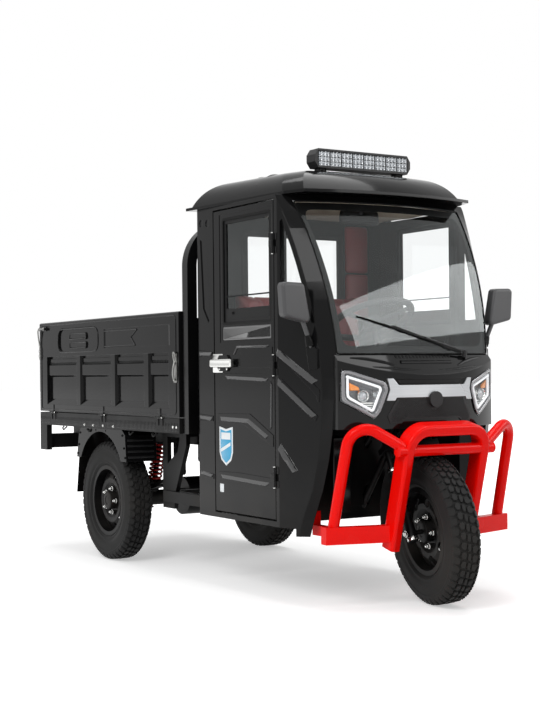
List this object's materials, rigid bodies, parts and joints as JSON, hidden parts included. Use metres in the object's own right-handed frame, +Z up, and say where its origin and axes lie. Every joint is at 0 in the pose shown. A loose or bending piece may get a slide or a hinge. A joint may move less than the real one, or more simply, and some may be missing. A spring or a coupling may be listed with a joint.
{
  "type": "electric cargo tricycle",
  "caption": "three-wheeled electric cargo tricycle with a closed one-seat cab, front bull bar, roof lamp bar and a drop-side load bed behind it",
  "frame": {"origin": "on the ground under the middle of the vehicle, the centre of the bottom of its bounding box", "axes": "+X points forwards along the vehicle, +Y to the driver's left, +Z up"},
  "size_m": [2.8928, 1.1176, 1.768],
  "materials": {
    "frame_black": "satin",
    "gloss_black": "gloss",
    "moulded_black": "matte",
    "clear_glass": "clear",
    "lamp_clear": "gloss",
    "lamp_red": "gloss",
    "silver_trim": "satin",
    "bar_red": "gloss",
    "seat_trim": "satin",
    "tread_rubber": "matte",
    "flap_rubber": "matte"
  },
  "bodies": {
    "chassis": {"main_frame": "frame_black", "rear_axle": "frame_black", "leaf_springs": "frame_black", "bed_floor": "frame_black", "load_hoop": "frame_black", "rear_fenders": "frame_black", "seat_base": "frame_black", "cab_sides": "gloss_black", "windscreen_frame": "gloss_black", "nose_shell": "gloss_black", "cab_rear_wall": "gloss_black", "roof": "moulded_black", "mirrors": "moulded_black", "light_bar": "moulded_black", "nose_grille": "moulded_black", "lower_fairings": "moulded_black", "wiper": "moulded_black", "dashboard": "moulded_black", "cab_floor": "moulded_black", "battery_pack": "moulded_black", "windscreen": "clear_glass", "fixed_windows": "clear_glass", "headlamps": "lamp_clear", "tail_lamps": "lamp_red", "nose_trim": "silver_trim", "bull_bar": "bar_red", "seat_cushion": "seat_trim", "seat_back": "seat_trim", "mud_flaps": "flap_rubber"},
    "front_end": {"front_fork": "frame_black", "front_mudguard": "moulded_black"},
    "front_wheel": {"front_tyre": "tread_rubber", "front_rim": "frame_black"},
    "hand_wheel": {"steering_wheel": "moulded_black"},
    "rear_wheel_right": {"rear_tyre_right": "tread_rubber", "rear_rim_right": "frame_black"},
    "rear_wheel_left": {"rear_tyre_left": "tread_rubber", "rear_rim_left": "frame_black"},
    "right_door": {"door_right": "gloss_black", "door_glass_right": "clear_glass"},
    "left_door": {"door_left": "gloss_black", "door_glass_left": "clear_glass"},
    "right_gate": {"side_gate_right": "gloss_black"},
    "left_gate": {"side_gate_left": "gloss_black"},
    "rear_gate": {"tailgate": "gloss_black"}
  },
  "joints": [
    {"name": "steering", "type": "hinge", "parent": "chassis", "child": "front_end", "pos_m": [1.16508, 0, 0.282], "axis": [-0.4226, 0, 0.9063], "range_deg": [-16, 40]},
    {"name": "front_wheel_spin", "type": "hinge", "parent": "front_end", "child": "front_wheel", "pos_m": [1.16508, 0, 0.282], "axis": [0.1884, 0.9781, 0.0879], "continuous": true},
    {"name": "hand_wheel_turn", "type": "hinge", "parent": "chassis", "child": "hand_wheel", "pos_m": [0.92207, 0, 0.80313], "axis": [-0.4226, 0, 0.9063], "range_deg": [-48, 120]},
    {"name": "rear_right_spin", "type": "hinge", "parent": "chassis", "child": "rear_wheel_right", "pos_m": [-0.71493, -0.415, 0.282], "axis": [0, 1, 0], "continuous": true},
    {"name": "rear_left_spin", "type": "hinge", "parent": "chassis", "child": "rear_wheel_left", "pos_m": [-0.71493, 0.415, 0.282], "axis": [0, 1, 0], "continuous": true},
    {"name": "right_door_swing", "type": "hinge", "parent": "chassis", "child": "right_door", "pos_m": [0.78757, -0.466, 0.93], "axis": [0, 0, 1], "range_deg": [0, 70]},
    {"name": "left_door_swing", "type": "hinge", "parent": "chassis", "child": "left_door", "pos_m": [0.78757, 0.466, 0.93], "axis": [0, 0, -1], "range_deg": [0, 70]},
    {"name": "right_gate_drop", "type": "hinge", "parent": "chassis", "child": "right_gate", "pos_m": [-0.67493, -0.506, 0.69], "axis": [1, 0, 0], "range_deg": [0, 172]},
    {"name": "left_gate_drop", "type": "hinge", "parent": "chassis", "child": "left_gate", "pos_m": [-0.67493, 0.506, 0.69], "axis": [-1, 0, 0], "range_deg": [0, 172]},
    {"name": "rear_gate_drop", "type": "hinge", "parent": "chassis", "child": "rear_gate", "pos_m": [-1.44093, 0, 0.69], "axis": [0, -1, 0], "range_deg": [0, 172]}
  ],
  "couplings": [
    {"joint": "hand_wheel_turn", "follows": "steering", "ratio": 3}
  ]
}
